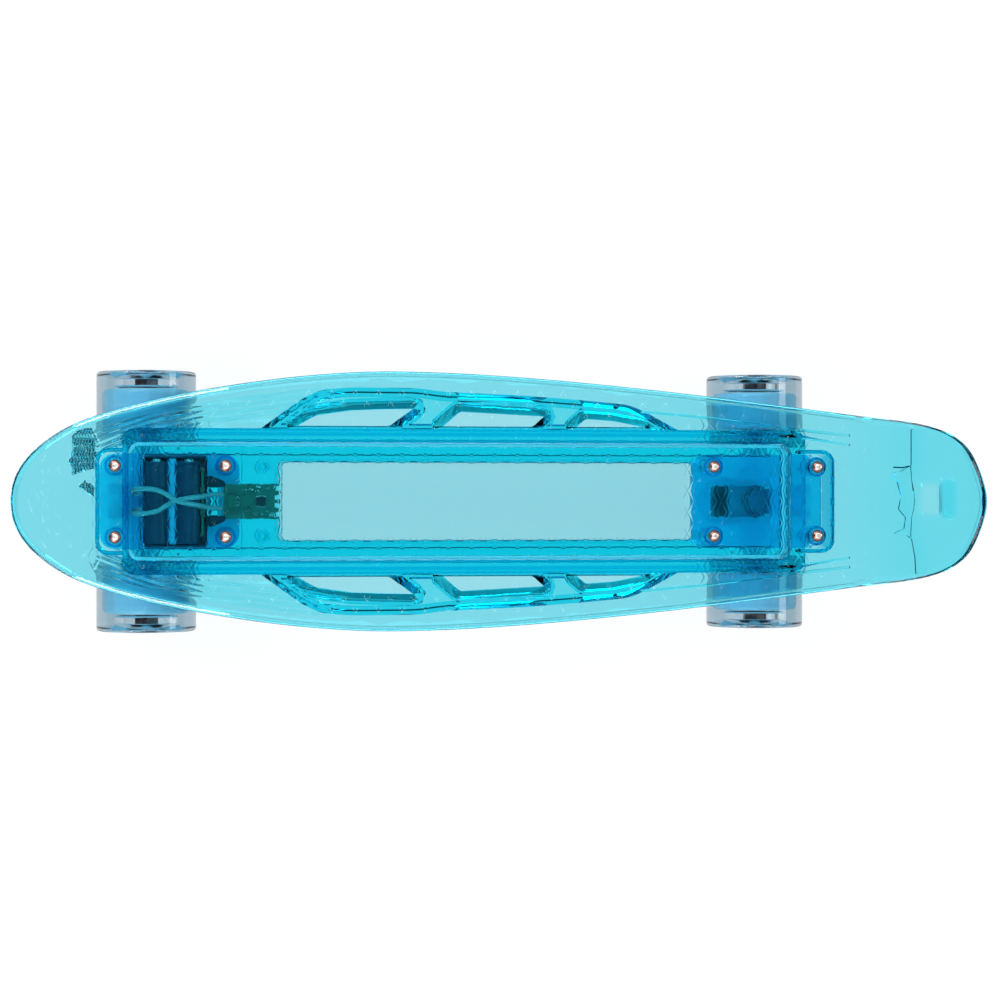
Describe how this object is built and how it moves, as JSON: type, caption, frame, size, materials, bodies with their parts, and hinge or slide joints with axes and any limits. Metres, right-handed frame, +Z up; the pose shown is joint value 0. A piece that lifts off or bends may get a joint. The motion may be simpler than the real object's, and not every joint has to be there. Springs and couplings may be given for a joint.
{
  "type": "cruiser skateboard",
  "caption": "Small transparent plastic cruiser skateboard with a kick tail, a light box under its deck, two sprung trucks and clear wheels.",
  "frame": {"origin": "on the ground under the middle of the board", "axes": "+X along the board towards the kick tail, +Y to the right of a rider who faces the nose, +Z up"},
  "size_m": [0.5716, 0.1566, 0.137],
  "materials": {
    "deck_plastic": "clear aqua polycarbonate, glossy, with a raised grip texture on top",
    "cover_plastic": "clear blue polycarbonate, glossy",
    "guide_plastic": "colourless clear light guide",
    "circuit_green": "dark green circuit board with small components",
    "button_plastic": "satin white push button",
    "battery_dark": "dark blue wrapped cells and tray",
    "lead_sleeve": "clear sleeved stranded wire",
    "bolt_steel": "bright plated steel",
    "truck_plastic": "translucent blue moulded plastic",
    "axle_steel": "zinc plated steel",
    "bearing_steel": "ground bearing steel with dark shields",
    "bushing_rubber": "dark urethane bushing",
    "wheel_urethane": "clear blue cast urethane"
  },
  "bodies": {
    "board": {"deck": "deck_plastic", "box_cover": "cover_plastic", "light_guide": "guide_plastic", "circuit_board": "circuit_green", "battery_tray": "battery_dark", "battery_cell_1": "battery_dark", "battery_cell_2": "battery_dark", "charge_board": "circuit_green", "lead_positive": "lead_sleeve", "lead_negative": "lead_sleeve", "deck_bolt_1": "bolt_steel", "deck_bolt_2": "bolt_steel", "deck_bolt_3": "bolt_steel", "deck_bolt_4": "bolt_steel", "deck_bolt_5": "bolt_steel", "deck_bolt_6": "bolt_steel", "deck_bolt_7": "bolt_steel", "deck_bolt_8": "bolt_steel", "front_baseplate": "truck_plastic", "front_pivot_cup": "truck_plastic", "front_kingpin": "axle_steel", "front_kingpin_nut": "axle_steel", "front_bushing_board": "bushing_rubber", "front_bushing_road": "bushing_rubber", "front_washer_board": "axle_steel", "front_washer_road": "axle_steel", "rear_baseplate": "truck_plastic", "rear_pivot_cup": "truck_plastic", "rear_kingpin": "axle_steel", "rear_kingpin_nut": "axle_steel", "rear_bushing_board": "bushing_rubber", "rear_bushing_road": "bushing_rubber", "rear_washer_board": "axle_steel", "rear_washer_road": "axle_steel"},
    "button": {"power_button": "button_plastic"},
    "front_truck": {"front_hanger": "truck_plastic", "front_axle": "axle_steel", "front_left_axle_nut": "axle_steel", "front_right_axle_nut": "axle_steel"},
    "rear_truck": {"rear_hanger": "truck_plastic", "rear_axle": "axle_steel", "rear_left_axle_nut": "axle_steel", "rear_right_axle_nut": "axle_steel"},
    "front_left_roller": {"front_left_wheel": "wheel_urethane", "front_left_bearing_outer": "bearing_steel", "front_left_bearing_inner": "bearing_steel"},
    "front_right_roller": {"front_right_wheel": "wheel_urethane", "front_right_bearing_outer": "bearing_steel", "front_right_bearing_inner": "bearing_steel"},
    "rear_left_roller": {"rear_left_wheel": "wheel_urethane", "rear_left_bearing_outer": "bearing_steel", "rear_left_bearing_inner": "bearing_steel"},
    "rear_right_roller": {"rear_right_wheel": "wheel_urethane", "rear_right_bearing_outer": "bearing_steel", "rear_right_bearing_inner": "bearing_steel"}
  },
  "joints": [
    {"name": "front_steer", "type": "hinge", "parent": "board", "child": "front_truck", "pos_m": [-0.2218, 0, 0.0697], "axis": [-0.8891, 0, 0.4577], "range_deg": [-15, 15], "stiffness_Nm_per_rad": 60, "deforming": ["front_bushing_board", "front_bushing_road"]},
    {"name": "rear_steer", "type": "hinge", "parent": "board", "child": "rear_truck", "pos_m": [0.1848, 0, 0.0697], "axis": [0.8891, 0, 0.4577], "range_deg": [-15, 15], "stiffness_Nm_per_rad": 60, "deforming": ["rear_bushing_board", "rear_bushing_road"]},
    {"name": "front_left_spin", "type": "hinge", "parent": "front_truck", "child": "front_left_roller", "pos_m": [-0.2078, -0.05605, 0.03], "axis": [0, 1, 0], "continuous": true},
    {"name": "front_right_spin", "type": "hinge", "parent": "front_truck", "child": "front_right_roller", "pos_m": [-0.2078, 0.05605, 0.03], "axis": [0, 1, 0], "continuous": true},
    {"name": "rear_left_spin", "type": "hinge", "parent": "rear_truck", "child": "rear_left_roller", "pos_m": [0.1708, -0.05605, 0.03], "axis": [0, 1, 0], "continuous": true},
    {"name": "rear_right_spin", "type": "hinge", "parent": "rear_truck", "child": "rear_right_roller", "pos_m": [0.1708, 0.05605, 0.03], "axis": [0, 1, 0], "continuous": true},
    {"name": "button_press", "type": "slide", "parent": "board", "child": "button", "axis": [0, 0, 1], "range_m": [0, 0.001], "stiffness_N_per_m": 400}
  ]
}
